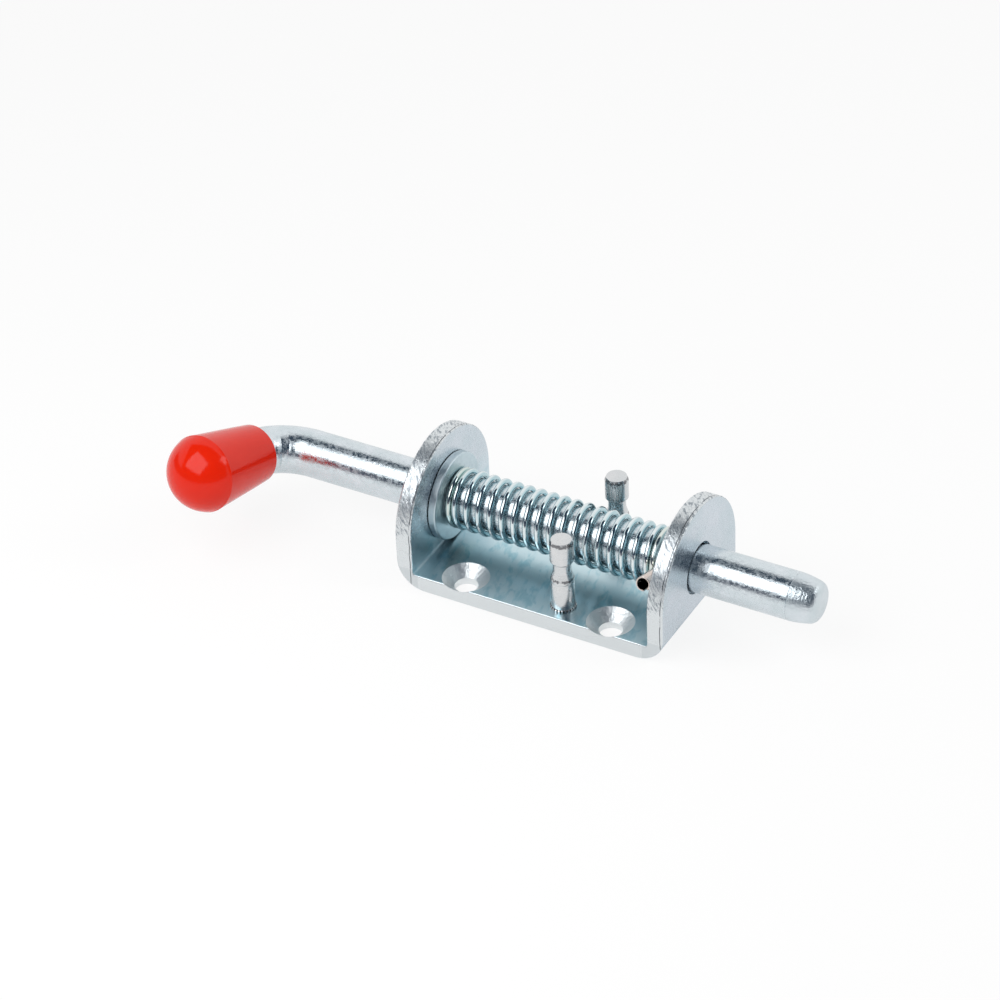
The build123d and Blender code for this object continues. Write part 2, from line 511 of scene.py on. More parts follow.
@dataclass(frozen=True)
class PlatedBracketSteel(ZincPlated):
    """The bracket's zinc plated hot rolled plate, with its sheared edges and drilled holes.

    To the eye the rolled faces are a clouded blue-grey mirror. In the bay under the spring a teal
    reflection of the spring and bar is painted into the colour, with soft streaks. The sheared edges
    are paler and torn, with a dark broken line of burr along one side of the ears, and the
    countersinks are bright and finely ringed.

    Attributes:
        inner_x_mm: How far the ears' inner faces stand from the middle.
        ear_radius_mm: The radius of the ears, which is also half the plate's width.
        ear_centre_z_mm: The height of the ears' centres.
        rim_mm: How far in from the outline an edge's look starts, and where it is full.
        bay: The lighter and the streaked darker colour of the painted teal reflection in the bay.
        bay_z_mm: The height where the painted reflection has gone, and where it is full.
        bay_x_mm: The same for how far it reaches past the ears' inner faces.
        bay_roughness: The roughness in the bay.
        streaks: The soft streaks that rolling and pickling leave across the plate.
        streak_band: How strong the pattern is where a streak starts and where it is full.
        streak_depth_mm: The streaks' depth.
        edge: The sheared edges' colour and the colour of the worn patches on them.
        edge_gloss: Lowest and highest roughness of the sheared edges.
        tears: The slanting torn marks of shearing, laid out round the ears' outline.
        tear_z_mm: The heights between which the tearing sets in, round the ears.
        tear_least: How strong it is below.
        tear_band: How strong the pattern is where its colour starts and where it is full.
        tear_dull: The same for its roughness.
        tear_share: How strong the torn marks' colour is.
        tear_depth_mm: The torn marks' depth.
        burr: The burr's colour.
        burr_x_mm: Middle and half the spacing of the lines of burr on the two ears.
        burr_mm: How far from its middle a line has gone, and where it is full.
        burr_wander: What lets the lines wander and breaks them.
        burr_wander_mm: How far they wander.
        burr_band: How strong the pattern is where a line is broken and where it is whole.
        cut: The countersinks' colour.
        cut_roughness: The roughness there.
        cut_mottle: The plating's mottling there.
        cut_depth_mm: Its depth.
        hole_mm: Where a screw hole lies, along and across.
        head_mm: The countersink's radius, and where its look is full.
        ring_mm: The pitch of the drill's rings, drawn coarser than real so that they show.
        ring_depth_mm: The rings' depth.
        fold_z_mm: The height of the base's top.
        fold_mm: How far an inner corner of the folds reaches, and where its look is full.
        fold_roughness: The roughness there.
        scratch_lines: The pattern whose middle level draws a few long fine scratches.
        scratch_width: How far from that level a scratch has gone, and where it is full.
        scratch_spots: Where on the plate scratches lie.
        scratch_band: How strong that pattern is where they start and where they are full.
        scratch_roughness: The roughness in a scratch.
    """

    inner_x_mm: float = 42.6
    ear_radius_mm: float = 26.25
    ear_centre_z_mm: float = 18.0
    rim_mm: Pair = (0.45, 0.15)
    bay: tuple[str, str] = ("#CDE3EA", "#ACD2DD")
    bay_z_mm: Pair = (24.0, 8.0)
    bay_x_mm: Pair = (0.3, 0.1)
    bay_roughness: float = 0.3
    streaks: Pattern = Pattern(2.4, 3.0, 0.55, 0.4, (1.0, 2.6, 1.6), 0.25, Order.TURNED)
    streak_band: Pair = (0.5, 0.66)
    streak_depth_mm: float = 0.05
    edge: tuple[str, str] = ("#DBE0E2", "#8E979F")
    edge_gloss: Pair = (0.26, 0.44)
    tears: Pattern = Pattern(0.9, 3.0, 0.7, 0.0, (1.0, 3.2, 1.0), 0.6, Order.TURNED)
    tear_z_mm: Pair = (13.0, 21.0)
    tear_least: float = 0.45
    tear_band: Pair = (0.5, 0.6)
    tear_dull: Pair = (0.4, 0.62)
    tear_share: float = 0.85
    tear_depth_mm: float = 0.2
    burr: str = "#5A5E64"
    burr_x_mm: Pair = (2.05, 45.35)
    burr_mm: Pair = (0.2, 0.08)
    burr_wander: Pattern = Pattern(6.0, 3.0)
    burr_wander_mm: float = 0.5
    burr_band: Pair = (0.38, 0.48)
    cut: str = "#EEF2F3"
    cut_roughness: float = 0.4
    cut_mottle: Pattern = Pattern(0.9)
    cut_depth_mm: float = 0.22
    hole_mm: Pair = (26.4, 19.6)
    head_mm: Pair = (7.95, 7.85)
    ring_mm: float = 0.5
    ring_depth_mm: float = 0.004
    fold_z_mm: float = 5.8
    fold_mm: Pair = (2.2, 1.54)
    fold_roughness: float = 0.55
    scratch_lines: Pattern = Pattern(5.0, 0.0, scale=(0.12, 1.0, 1.0), turn=0.7)
    scratch_width: Pair = (0.008, 0.003)
    scratch_spots: Pattern = Pattern(10.0, 1.0)
    scratch_band: Pair = (0.54, 0.62)
    scratch_roughness: float = 0.5

    def marks(self, coat: Surface) -> None:
        """Lays the painted bay reflection, edges, scratches, countersinks and folds on the plate.

        Args:
            coat: The plate's surface.
        """
        along = coat.add("Math", coat.x, operation="ABSOLUTE")
        lifted = coat.add("Math", coat.z, self.ear_centre_z_mm, operation="SUBTRACT")
        edge = self.edge_share(coat, lifted)
        self.paint_bay_reflection(coat, along)
        self.mark_edges(coat, edge, lifted)
        lines = coat.away(self.scratch_lines.draw(coat), 0.5)
        spots = coat.add("MapRange", self.scratch_spots.draw(coat), *self.scratch_band)
        scratch = coat.overlap(coat.add("MapRange", lines, *self.scratch_width), spots)
        coat.lay(scratch, roughness=self.scratch_roughness)
        self.mark_holes(coat, edge)
        inwards = coat.add("Math", self.inner_x_mm, along, operation="SUBTRACT")
        upwards = coat.add("Math", coat.z, self.fold_z_mm, operation="SUBTRACT")
        reach = coat.add("Math", inwards, upwards, operation="MAXIMUM")
        coat.lay(coat.add("MapRange", reach, *self.fold_mm), roughness=self.fold_roughness)

    def edge_share(self, coat: Surface, lifted: Socket) -> Socket:
        """Finds the sheared edges by their distance from the plate's outline.

        Args:
            coat: The plate's surface.
            lifted: The height above the ears' centres.

        Returns:
            An output that is 1 on the edges and 0 on the rolled faces.
        """
        above = coat.add("Math", lifted, 0.0, operation="MAXIMUM")
        across = coat.add("CombineXYZ", 0.0, coat.y, above)
        reach = coat.add("VectorMath", across, operation="LENGTH", out="Value")
        return coat.add("MapRange", reach, *(self.ear_radius_mm - rim for rim in self.rim_mm))

    def paint_bay_reflection(self, coat: Surface, along: Socket) -> None:
        """Paints a teal reflection into the bay, fullest near the base, and draws its streaks.

        Args:
            coat: The plate's surface.
            along: The distance from the middle along the bracket.
        """
        low = coat.add("MapRange", coat.z, *self.bay_z_mm)
        inside = coat.add("MapRange", along, *(self.inner_x_mm + past for past in self.bay_x_mm))
        streaks = self.streaks.draw(coat)
        worn = coat.add("MapRange", streaks, *self.streak_band)
        # The bay's colours are a painted teal reflection of the spring and bar, fullest near the
        # base.
        shades = {"Factor": worn, 6: linear(self.bay[0]), 7: linear(self.bay[1])}
        tint = coat.add("Mix", named=shades, out=2, data_type="RGBA")
        bay = coat.overlap(low, inside)
        coat.lay(bay, tint, self.bay_roughness, streaks, self.streak_depth_mm)

    def mark_edges(self, coat: Surface, edge: Socket, lifted: Socket) -> None:
        """Draws the torn marks of shearing on the edges, and the lines of burr beside them.

        Args:
            coat: The plate's surface.
            edge: 1 on the edges.
            lifted: The height above the ears' centres.
        """
        turn = coat.add("Math", coat.y, lifted, operation="ARCTAN2")
        around = coat.add("Math", turn, self.ear_radius_mm, operation="MULTIPLY")
        torn = self.tears.draw(coat, coat.add("CombineXYZ", coat.x, around))
        tears = coat.overlap(torn, coat.add("MapRange", coat.z, *self.tear_z_mm, self.tear_least))
        bare = coat.add("MapRange", tears, *self.tear_band, 0.0, self.tear_share)
        shades = {"Factor": bare, 6: linear(self.edge[0]), 7: linear(self.edge[1])}
        tint = coat.add("Mix", named=shades, out=2, data_type="RGBA")
        dull = coat.add("MapRange", tears, *self.tear_dull, *self.edge_gloss)
        coat.lay(edge, tint, dull, tears, self.tear_depth_mm)

        middle, half = self.burr_x_mm
        wander = self.burr_wander.draw(coat)
        shift = (0.0, 1.0, half + self.burr_wander_mm, half - self.burr_wander_mm)
        line_at = coat.add("MapRange", wander, *shift)
        off = coat.away(coat.away(coat.x, middle), line_at)
        line = coat.add("MapRange", off, *self.burr_mm)
        whole = coat.add("MapRange", wander, *self.burr_band)
        coat.lay(coat.overlap(line, whole, edge), self.burr)

    def mark_holes(self, coat: Surface, edge: Socket) -> None:
        """Brightens the countersinks and draws the drill's rings and the mottling in them.

        Args:
            coat: The plate's surface.
            edge: 1 on the sheared edges, which a countersink doesn't reach.
        """
        folded = coat.add("VectorMath", coat.place, operation="ABSOLUTE")
        from_hole = coat.add("VectorMath", folded, (*self.hole_mm, 0.0), operation="SUBTRACT")
        level = coat.add("VectorMath", from_hole, (1.0, 1.0, 0.0), operation="MULTIPLY")
        reach = coat.add("VectorMath", level, operation="LENGTH", out="Value")
        phase = coat.add("Math", reach, 2 * math.pi / self.ring_mm, operation="MULTIPLY")
        rings = coat.add("Math", phase, operation="SINE")
        clear = coat.add("Math", 1.0, edge, operation="SUBTRACT")
        hole = coat.overlap(coat.add("MapRange", reach, *self.head_mm), clear)
        coat.lay(hole, self.cut, self.cut_roughness, rings, self.ring_depth_mm)
        coat.lay(hole, relief=self.cut_mottle.draw(coat), depth_mm=self.cut_depth_mm)


@dataclass(frozen=True)
class TurnedStudSteel(ZincPlated):
    """Zinc plating on the turned free cutting steel of the studs.

    To the eye it is a pale, slightly warm metal with a soft sheen. Shade is painted dark into the
    gaps between the teeth of the foot, and a dark reflection into the chamfer round the top; the
    lower cone has torn dark marks where the tool chattered as it turned into it.

    Attributes:
        axis_mm: Where a stud's axis stands, along and across.
        chatter_and_dark_reflection: The colour of the tool's torn marks on the cone, and of the
        painted dark reflection in the chamfer round the top.
        chatter_and_reflection_z_mm: The heights of the bands: the tool's marks on the cone, and the
        painted dark reflection in the chamfer round the top.
        chatter_and_reflection_edge_mm: Over how much of its height a band fades.
        torn: What tears the marks' edges.
        torn_band: How strong the pattern is where a mark has gone and where it is whole.
        teeth: How many teeth the foot has.
        gap: The painted shade in the gaps.
        gap_share: How much of a tooth's pitch lies in shade on each side of a gap's middle.
        gap_ring_mm: The middle radius of the ring on which the gaps lie, and half its width.
        gap_z_mm: The gaps lie below this height.
    """

    axis_mm: Pair = (9.05, 19.0)
    # Colour of the tool's marks, and of the painted dark reflection in the top chamfer.
    chatter_and_dark_reflection: str = "#7E7F82"
    chatter_and_reflection_z_mm: tuple[Pair, ...] = ((17.0, 18.3), (30.80, 32.25))
    chatter_and_reflection_edge_mm: float = 0.25
    torn: Pattern = Pattern(0.6, scale=(1.0, 1.0, 0.3))
    torn_band: Pair = (0.3, 0.55)
    teeth: int = 24
    # Painted shade in the gaps between the teeth.
    gap: str = "#14181A"
    gap_share: float = 0.2
    gap_ring_mm: Pair = (4.21, 0.29)
    gap_z_mm: float = 6.7

    def marks(self, coat: Surface) -> None:
        """Lays the tool's marks, a painted dark reflection and painted shade in the gaps.

        Args:
            coat: The stud's surface.
        """
        folded = coat.add("VectorMath", coat.place, operation="ABSOLUTE")
        from_axis = coat.add("VectorMath", folded, (*self.axis_mm, 0.0), operation="SUBTRACT")
        x, y, z = coat.add("SeparateXYZ", from_axis).node.outputs
        torn = self.torn.draw(coat)
        # Lower band: the tool's marks. Band round the top: a painted dark reflection in the chamfer.
        for low, high in self.chatter_and_reflection_z_mm:
            off = coat.away(z, (low + high) / 2)
            ragged = coat.add("MapRange", torn, *self.torn_band, 0.0, (high - low) / 2)
            inwards = coat.add("Math", ragged, off, operation="SUBTRACT")
            coat.lay(coat.add("MapRange", inwards, 0.0, self.chatter_and_reflection_edge_mm), self.chatter_and_dark_reflection)

        # Painted shade in the gaps between the foot's teeth.
        level = coat.add("CombineXYZ", x, y)
        reach = coat.add("VectorMath", level, operation="LENGTH", out="Value")
        ring = coat.add("Math", reach, *self.gap_ring_mm, operation="COMPARE")
        below = coat.add("Math", z, self.gap_z_mm, operation="LESS_THAN")
        turn = coat.add("Math", y, x, operation="ARCTAN2")
        pitches = coat.add("Math", turn, self.teeth / (2 * math.pi), operation="MULTIPLY")
        aside = coat.add("Math", pitches, 0.5, operation="PINGPONG")
        shaded = coat.add("Math", aside, self.gap_share, operation="LESS_THAN")
        coat.lay(coat.overlap(ring, below, shaded), self.gap)


@dataclass(frozen=True)
class DrawnBarSteel(ZincPlated):
    """Zinc plating on the cold drawn bar, whose taper was turned after drawing.

    To the eye the bar is a pitted mirror, and its taper is mottled, with fine turned rings.

    Attributes:
        taper_x_mm: Between which places the turned taper's look sets in.
        taper_roughness: The taper's roughness.
        rings: Its rings, drawn coarser than real so that they show.
        ring_depth_mm: The rings' depth.
        mottle: The plating's mottling on the taper.
        mottle_depth_mm: Its depth.
    """

    taper_x_mm: Pair = (81.8, 82.0)
    taper_roughness: float = 0.34
    rings: Pattern = Pattern(0.7, scale=(1.0, 0.1, 0.1))
    ring_depth_mm: float = 0.06
    mottle: Pattern = Pattern(0.75)
    mottle_depth_mm: float = 0.15

    def marks(self, coat: Surface) -> None:
        """Lays the turned taper over the plating.

        Args:
            coat: The bar's surface.
        """
        taper = coat.add("MapRange", coat.x, *self.taper_x_mm)
        coat.lay(taper, None, self.taper_roughness, self.rings.draw(coat), self.ring_depth_mm)
        coat.lay(taper, relief=self.mottle.draw(coat), depth_mm=self.mottle_depth_mm)


@dataclass(frozen=True)
class PlatedStripSteel(ZincPlated):
    """Plated spring steel strip, rolled to a tube.

    To the eye it is a warm grey metal; its bore is painted nearly black as shade.

    Attributes:
        bore: The painted shade in the bore.
        bore_radius_mm: The bore's radius, a little enlarged.
        centre_mm: A point on the tube's axis.
    """

    bore: str = "#4A382E"
    bore_radius_mm: float = 2.0
    centre_mm: tuple[float, float, float] = (40.05, 0.0, 21.1)

    def marks(self, coat: Surface) -> None:
        """Paints shade into the bore.

        Args:
            coat: The pin's surface.
        """
        # The bore is painted dark as shade.
        off = coat.add("VectorMath", coat.place, self.centre_mm, operation="SUBTRACT")
        moment = coat.add("VectorMath", off, tuple(LIFT_DIR), operation="CROSS_PRODUCT")
        reach = coat.add("VectorMath", moment, operation="LENGTH", out="Value")
        coat.lay(coat.add("Math", reach, self.bore_radius_mm, operation="LESS_THAN"), self.bore)


@dataclass(frozen=True)
class PlatedRoundBar(ZincPlated):
    """Zinc plating on what sits round the bar.

    A teal reflection is painted where it faces along the bar, and its ends are stained or, where one
    sits against another part, painted dark as shade.

    Attributes:
        flank_reflection: The painted teal reflection on what faces along the bar.
        flank_band: How squarely a face points along the bar where the colour starts and where it
            is full.
        end: The colour of the ends: a stain, or painted shade where an end sits against another part.
        end_share: How strong that colour is.
        ends_mm: The middle between the ends, and how far from it they start and are full.
    """

    flank_reflection: str = "#B4D0D7"
    flank_band: Pair = (0.3, 0.75)
    end: str = "#D9D2A8"
    end_share: float = 0.2
    ends_mm: tuple[float, float, float] = (-1.1, 35.2, 35.3)

    def marks(self, coat: Surface) -> None:
        """Lays the painted reflection on the flanks and the stain or painted shade of the ends.

        Args:
            coat: The surface of what sits round the bar.
        """
        # Painted teal reflection where the surface faces along the bar.
        facing = coat.add("SeparateXYZ", coat.add("TexCoord", out="Normal"))
        leaning = coat.add("Math", facing, operation="ABSOLUTE")
        coat.lay(coat.add("MapRange", leaning, *self.flank_band), self.flank_reflection)
        # A stain on the spring's ends; painted shade on the washer's end at the ear.
        middle, start, full = self.ends_mm
        off = coat.away(coat.x, middle)
        coat.lay(coat.add("MapRange", off, start, full, 0.0, self.end_share), self.end)


@dataclass(frozen=True)
class MouldedPlastic:
    """Soft moulded polythene: a clear red with a waxy gloss, paler where it is seen edge on.

    Attributes:
        body: The plastic's colour.
        deep: Its colour in the slightly denser clouds.
        gloss: Lowest and highest roughness.
        flow: The clouds that the moulding leaves.
        grit: The mould's fine grit, drawn coarser than real so that it shows.
        grit_depth_mm: Its depth.
        specular: How strong its gloss is, a little under that of a hard plastic.
        ior: Its refractive index, that of polythene.
        scatter: How much light goes through its skin.
        scatter_mm: How far.
    """

    body: str = "#DD2203"
    deep: str = "#D41E02"
    gloss: Pair = (0.1, 0.16)
    flow: Pattern = Pattern(9.0, 3.0)
    grit: Pattern = Pattern(0.6)
    grit_depth_mm: float = 0.004
    specular: float = 0.28
    ior: float = 1.51
    scatter: float = 0.08
    scatter_mm: float = 1.5

    def material(self) -> bpy.types.Material:
        """Builds the plastic.

        Returns:
            The material.
        """
        coat = Surface("moulded_red_polythene", self.body, self.gloss[0])
        coat.lay(self.flow.draw(coat), self.deep, self.gloss[1])
        coat.lay(1.0, relief=self.grit.draw(coat), depth_mm=self.grit_depth_mm)
        depth = {"Subsurface Weight": self.scatter, "Subsurface Scale": self.scatter_mm * MM}
        return coat.material({"IOR": self.ior, "Specular IOR Level": self.specular, **depth})


def dress(piece: Piece, material: bpy.types.Material) -> None:
    """Gives a piece or a CAD node one material all over, and reports it.

    Args:
        piece: The mesh object.
        material: The material.
    """
    piece.data.materials.clear()
    piece.data.materials.append(material)
    log.info("%s: %d faces of %s", piece.name, len(piece.data.polygons), material.name)


def hand_over(piece: Piece, body: str, node: str, material: bpy.types.Material) -> None:
    """Puts a finished piece in place of its CAD node.

    Args:
        piece: The finished mesh object.
        body: The CAD body that it rides on.
        node: The CAD node that it stands for.
        material: Its material.
    """
    dress(piece, material)
    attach(piece, body)
    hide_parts(node)


@dataclass
class Bracket:
    """The folded plate with its two ears, which keeps its CAD shape."""

    finish: PlatedBracketSteel = PlatedBracketSteel(
        "zinc_plated_plate",
        "#D1D9E1",
        "#C6D3DA",
        (0.26, 0.36),
        cloud_mm=9.0,
        pit_mm=1.4,
        pit_depth_mm=0.003,
    )

    def build(self) -> None:
        """Dresses the CAD node."""
        dress(frame["nodes"]["bracket"], self.finish.material())


@dataclass
class SeatWasher:
    """The washer between the left ear and the spring, which keeps its CAD shape.

    Its end away from the spring gets a dark line of painted shade, the gap to the ear.
    """

    finish: PlatedRoundBar = PlatedRoundBar(
        "zinc_plated_washer",
        "#D5DFE3",
        "#C2D2D8",
        (0.3, 0.44),
        cloud_mm=4.0,
        pit_mm=0.45,
        pit_depth_mm=0.05,
        # Painted teal reflection on the faces that look along the bar.
        flank_reflection="#C4D5DC",
        # Painted shade in the gap between washer and ear.
        end="#20262A",
        end_share=1.0,
        ends_mm=(0.0, 42.3, 42.4),
    )

    def build(self) -> None:
        """Dresses the CAD node."""
        dress(frame["nodes"]["washer"], self.finish.material())


@dataclass
class Stud:
    """A turned post with a waist, pressed into the base on a ring of small teeth.

    Attributes:
        node: The CAD node that it stands for.
        centre_y: Where its axis stands across the bracket.
        centre_x: Where its axis stands along the bracket.
        base_z: The top of the base.
        radius: Its full radius.
        height: How far it stands above the base.
        top_chamfer: The width and height of the steep chamfer round its top.
        waist_radius: The radius of its waist.
        waist_below: How far the waist reaches below the bar's axis.
        waist_flat: The height of the waist.
        shoulder: The height of the short cone above the waist.
        cone: The height of the long cone below it.
        line_drop: How far the turned line lies below the cone.
        line_depth: The line's depth.
        line_width: The line's width.
        edge_break: The breaking of the sharp edges.
        shank_radius: The radius of the shank in the base.
        shank_z: The shank's lower end.
        foot_radius: The radius of the toothed ring.
        foot_height: The height of the toothed ring.
        foot_step: The small slope from the ring to the post.
        teeth: How many teeth the ring has.
        tooth_depth: How deep the gaps between them go.
        gap_share: How much of a tooth's pitch moves in on each side of a gap's middle.
        finish: Its plated turned steel, with painted gap shade and a painted dark reflection.
    """

    node: str
    centre_y: float
    centre_x: float = 9.05 * MM
    base_z: float = 5.8 * MM
    radius: float = 3.9 * MM
    height: float = 26.5 * MM
    top_chamfer: Pair = (0.5 * MM, 1.3 * MM)
    waist_radius: float = 2.95 * MM
    waist_below: float = 1.0 * MM
    waist_flat: float = 3.2 * MM
    shoulder: float = 0.9 * MM
    cone: float = 2.9 * MM
    line_drop: float = 0.9 * MM
    line_depth: float = 0.07 * MM
    line_width: float = 0.4 * MM
    edge_break: float = 0.12 * MM
    shank_radius: float = 2.98 * MM
    shank_z: float = 0.35 * MM
    foot_radius: float = 4.33 * MM
    foot_height: float = 0.8 * MM
    foot_step: float = 0.05 * MM
    teeth: int = 24
    tooth_depth: float = 0.4 * MM
    gap_share: float = 0.1
    finish: TurnedStudSteel = TurnedStudSteel(
        "zinc_plated_turned_steel",
        "#D9DADB",
        "#CFD3D5",
        (0.2, 0.3),
        pit_mm=0.7,
        pit_depth_mm=0.012,
        grain=Grain.ROUND_Z,
    )

    def outline(self) -> Outline:
        """Gives the stud's turned outline from the shank up.

        Returns:
            Radius and height of each ring, with heights from the underside.
        """
        low = AXIS_Z - self.waist_below
        high = low + self.waist_flat
        corner = low - self.cone
        top = self.base_z + self.height
        foot_top = self.base_z + self.foot_height
        line = corner - self.line_drop
        small = self.edge_break
        wide, tall = self.top_chamfer
        return [
            (self.shank_radius, self.shank_z),
            (self.shank_radius, self.base_z),
            (self.foot_radius, self.base_z),
            (self.foot_radius, foot_top - small),
            (self.foot_radius - small, foot_top),
            (self.radius, foot_top + self.foot_step),
            (self.radius, line - self.line_width / 2),
            (self.radius - self.line_depth, line),
            (self.radius, line + self.line_width / 2),
            (self.radius, corner - small),
            (self.radius - small / 2, corner + small),
            (self.waist_radius + small / 2, low - small),
            (self.waist_radius, low + small),
            (self.waist_radius, high - small),
            (self.waist_radius + small, high + small / 2),
            (self.radius - small, high + self.shoulder - small / 2),
            (self.radius, high + self.shoulder + small),
            (self.radius, top - tall),
            (self.radius - wide, top),
            (self.radius - 2 * wide, top),
            (0.0, top),
        ]

    def build(self) -> None:
        """Turns the stud, cuts its teeth and puts it in the base."""
        piece = Lathe(4 * self.teeth).turn(f"{self.node}_turning", self.outline())
        step = 2 * math.pi / self.teeth
        low, high = self.base_z - NEAR, self.base_z + self.foot_height + NEAR

        def in_gap(co: Vector) -> bool:
            """Says whether a vertex of the foot lies in the middle of a gap."""
            share = (math.atan2(co.y, co.x) / step) % 1.0
            on_foot = low < co.z < high and co.xy.length > self.radius + self.edge_break
            return on_foot and min(share, 1.0 - share) < self.gap_share

        with editing(piece):
            pick(piece, in_gap)
            keep = 1.0 - self.tooth_depth / self.foot_radius
            bpy.ops.transform.resize(value=(keep, keep, 1.0), center_override=(0.0, 0.0, 0.0))
        place(piece, Vector((self.centre_x, self.centre_y, 0.0)), UP, RIGHT)
        finish_surface(piece)
        material = bpy.data.materials.get(self.finish.name) or self.finish.material()
        hand_over(piece, BRACKET, self.node, material)


@dataclass
class BoltRod:
    """The round bar: turned taper, straight run, the cold bend of the handle and the grip.

    Attributes:
        tip_x: Where the free end lies.
        taper_length: The length of the turned taper.
        taper_radius: The radius at the taper's end.
        taper_bulge: The radius with which the taper bulges.
        tip_edge: The rounding of the free end.
        bend_x: Where the bend starts.
        bend_radius: The bend's radius at the bar's axis.
        bend_deg: How far the bar is bent.
        grip_length: The straight grip beyond the bend.
        grip_chamfer: The chamfer of its end.
        bend_steps: How many rings the bend has.
        creases: Which rings of the bend cold bending left creased, and how much each.
        crease_depth: How deep the deepest crease is.
        crease_profile: How deep each ring from a crease's middle outwards goes: a valley with
            a low ridge on each side.
        crease_spread_deg: How far round the bar the three layers of a crease reach.
        crease_room: A little more than 1, which lets a layer take in the vertices on its limit.
        pin_x: Where the cross hole lies.
        pin_radius: The cross hole's radius.
        pin_room: How far from the hole the rings beside it are.
        drill_sides: How many faces go round the hole.
        ring_shares: Where along the straight run it has further rings.
        arc_steps: How many rings round the free end, and along the taper.
        taper_room: How far beyond the taper the next ring is.
        finish: Its plated drawn steel.
    """

    tip_x: float = 91.0 * MM
    taper_length: float = 9.1 * MM
    taper_radius: float = 6.35 * MM
    taper_bulge: float = 34.0 * MM
    tip_edge: float = 2.9 * MM
    bend_x: float = -94.3 * MM
    bend_radius: float = 15.5 * MM
    bend_deg: float = 83.0
    grip_length: float = 33.0 * MM
    grip_chamfer: float = 1.0 * MM
    bend_steps: int = 48
    creases: tuple[tuple[int, float], ...] = ((22, 0.6), (31, 1.0), (41, 0.7))
    crease_depth: float = 0.3 * MM
    crease_profile: tuple[float, ...] = (-0.1, 0.0, 0.25, 0.65, 1.0, 0.6, 0.25, 0.0, -0.1)
    crease_spread_deg: tuple[float, ...] = (25.0, 45.0, 65.0)
    crease_room: float = 1.02
    pin_x: float = 40.05 * MM
    pin_radius: float = 2.51 * MM
    pin_room: float = 4.0 * MM
    drill_sides: int = 64
    ring_shares: tuple[float, ...] = (0.45, 0.6, 0.75, 0.9, 1.0)
    arc_steps: tuple[int, int] = (10, 8)
    taper_room: float = 0.4 * MM
    finish: DrawnBarSteel = DrawnBarSteel(
        "zinc_plated_drawn_bar",
        "#DAE1E6",
        "#CBD6DA",
        (0.2, 0.4),
        patch_mm=0.9,
        pit_depth_mm=0.048,
        grain=Grain.ALONG_X,
    )

    @property
    def bend_centre(self) -> Vector:
        """The centre of the bend."""
        return Vector((self.bend_x, 0.0, AXIS_Z)) + LIFT_DIR * self.bend_radius

    def spoke(self, turn_deg: float) -> Vector:
        """Gives the way from the bend's centre to the bar's axis after a turn."""
        turn = math.radians(turn_deg)
        return LIFT_DIR * -math.cos(turn) - RIGHT * math.sin(turn)

    @property
    def grip_start(self) -> Vector:
        """Where the straight grip starts on its axis."""
        return self.bend_centre + self.spoke(self.bend_deg) * self.bend_radius

    @property
    def grip_dir(self) -> Vector:
        """The way that the grip points."""
        return self.spoke(self.bend_deg + 90.0)

    def outline(self) -> Outline:
        """Gives the turned outline of the straight run, from the free end towards the bend.

        Returns:
            Radius and distance from the free end of each ring.
        """
        drop = BAR_RADIUS - self.taper_radius
        half_chord = math.hypot(drop, self.taper_length) / 2
        lean = math.atan2(drop, self.taper_length)
        rise = math.sqrt(self.taper_bulge**2 - half_chord**2)
        centre = (
            (BAR_RADIUS + self.taper_radius) / 2 - rise * math.cos(lean),
            self.taper_length / 2 + rise * math.sin(lean),
        )
        edge = self.tip_edge
        sine = (centre[1] - edge) / (self.taper_bulge - edge)
        face = centre[0] + (self.taper_bulge - edge) * math.sqrt(1.0 - sine**2)
        meet = -math.degrees(math.asin(sine))
        start = -math.degrees(math.asin((centre[1] - self.taper_length) / self.taper_bulge))
        rounded = arc_points((face, edge), edge, -90.0, meet, self.arc_steps[0])
        taper = arc_points(centre, self.taper_bulge, meet, start, self.arc_steps[1])
        run = self.tip_x - self.bend_x
        pin_at = self.tip_x - self.pin_x
        stops = [self.taper_length + self.taper_room, pin_at - self.pin_room, pin_at + self.pin_room]
        stops += [run * share for share in self.ring_shares]
        straight = [(BAR_RADIUS, stop) for stop in sorted(stops)]
        return [(face * 0.5, 0.0), (face, 0.0), *rounded, *taper, *straight]

    def build(self) -> None:
        """Turns, bends, creases and drills the bar."""
        piece = Lathe().turn("bolt_rod_bar", self.outline())
        place(piece, Vector((self.tip_x, 0.0, AXIS_Z)), -RIGHT, LIFT_DIR)
        with editing(piece):
            pick(piece, lambda co: co.x < self.bend_x + NEAR)
            bpy.ops.mesh.spin(
                steps=self.bend_steps,
                angle=math.radians(self.bend_deg),
                center=tuple(self.bend_centre),
                axis=tuple(PLANE_NORMAL),
            )
            straight = self.grip_dir * (self.grip_length - self.grip_chamfer)
            extrude_ring(straight, 1.0, self.grip_start)
            scale = (BAR_RADIUS - self.grip_chamfer) / BAR_RADIUS
            extrude_ring(self.grip_dir * self.grip_chamfer, scale, self.grip_start + straight)
        self.crease(piece)
        finish_surface(piece)
        self.drill(piece)
        hand_over(piece, BOLT, "bolt_rod", self.finish.material())

    def crease(self, piece: Piece) -> None:
        """Presses the small creases that cold bending leaves on the inner side of the bend.

        Args:
            piece: The bar.
        """
        reach = len(self.crease_profile) // 2
        layers = len(self.crease_spread_deg)
        with editing(piece):
            for step, share in self.creases:
                for ring, part in enumerate(self.crease_profile, step - reach):
                    out = self.spoke(ring * self.bend_deg / self.bend_steps)
                    middle = self.bend_centre + out * self.bend_radius
                    along = out.cross(PLANE_NORMAL)
                    for spread_deg in self.crease_spread_deg:
                        limit = -BAR_RADIUS * math.cos(math.radians(spread_deg)) / self.crease_room

